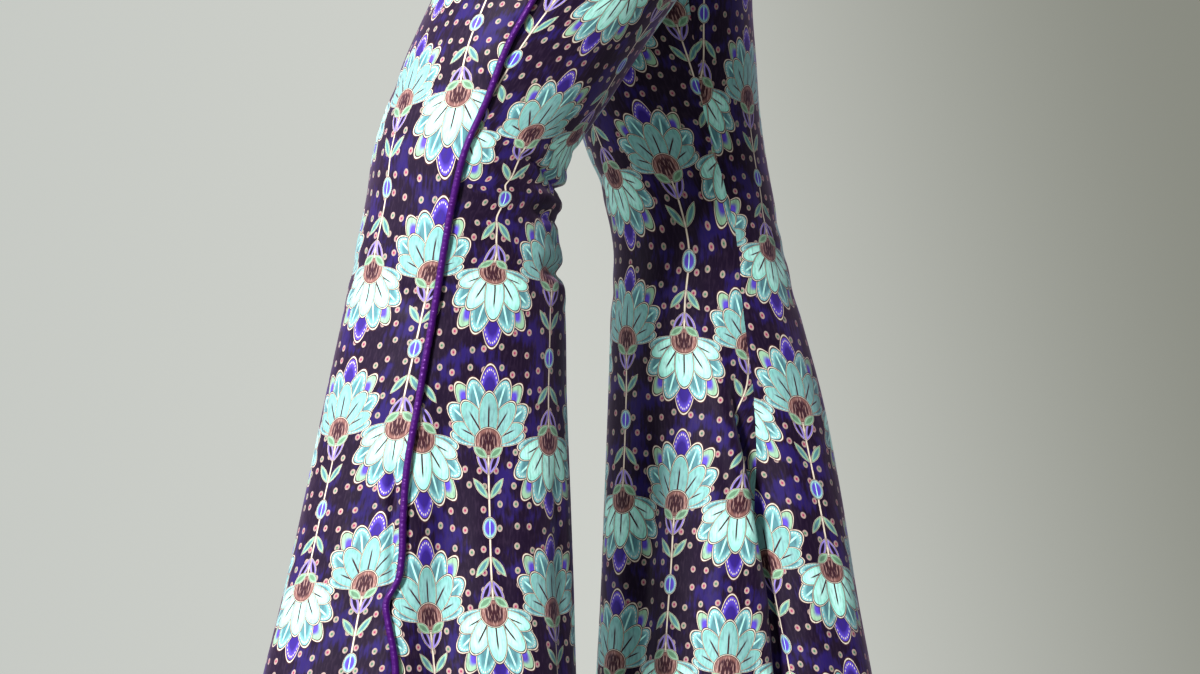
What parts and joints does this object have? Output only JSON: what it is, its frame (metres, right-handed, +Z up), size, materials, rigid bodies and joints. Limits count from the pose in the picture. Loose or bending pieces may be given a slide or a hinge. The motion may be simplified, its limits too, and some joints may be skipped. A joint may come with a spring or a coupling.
{
  "type": "flared leggings",
  "caption": "Full-length flared leggings, worn form with one leg a step forward, fitted to the knee and belling to open hems, piped side seams.",
  "frame": {"origin": "centre of the waist opening, at the top edge of the waistband, where the wearer's waist holds it", "axes": "+Z up along the body, -Y is the wearer's front, +X is the wearer's left"},
  "size_m": [0.3605, 0.4912, 1.0302],
  "materials": {
    "printed_jersey": "smooth stretch jersey, dark violet ground with a blossom print, soft sheen",
    "piping_satin": "deep violet satin cord"
  },
  "bodies": {
    "root": {"left_front": "printed_jersey", "left_back": "printed_jersey", "right_front": "printed_jersey", "right_back": "printed_jersey", "waistband": "printed_jersey", "left_piping": "piping_satin", "right_piping": "piping_satin"}
  },
  "joints": []
}
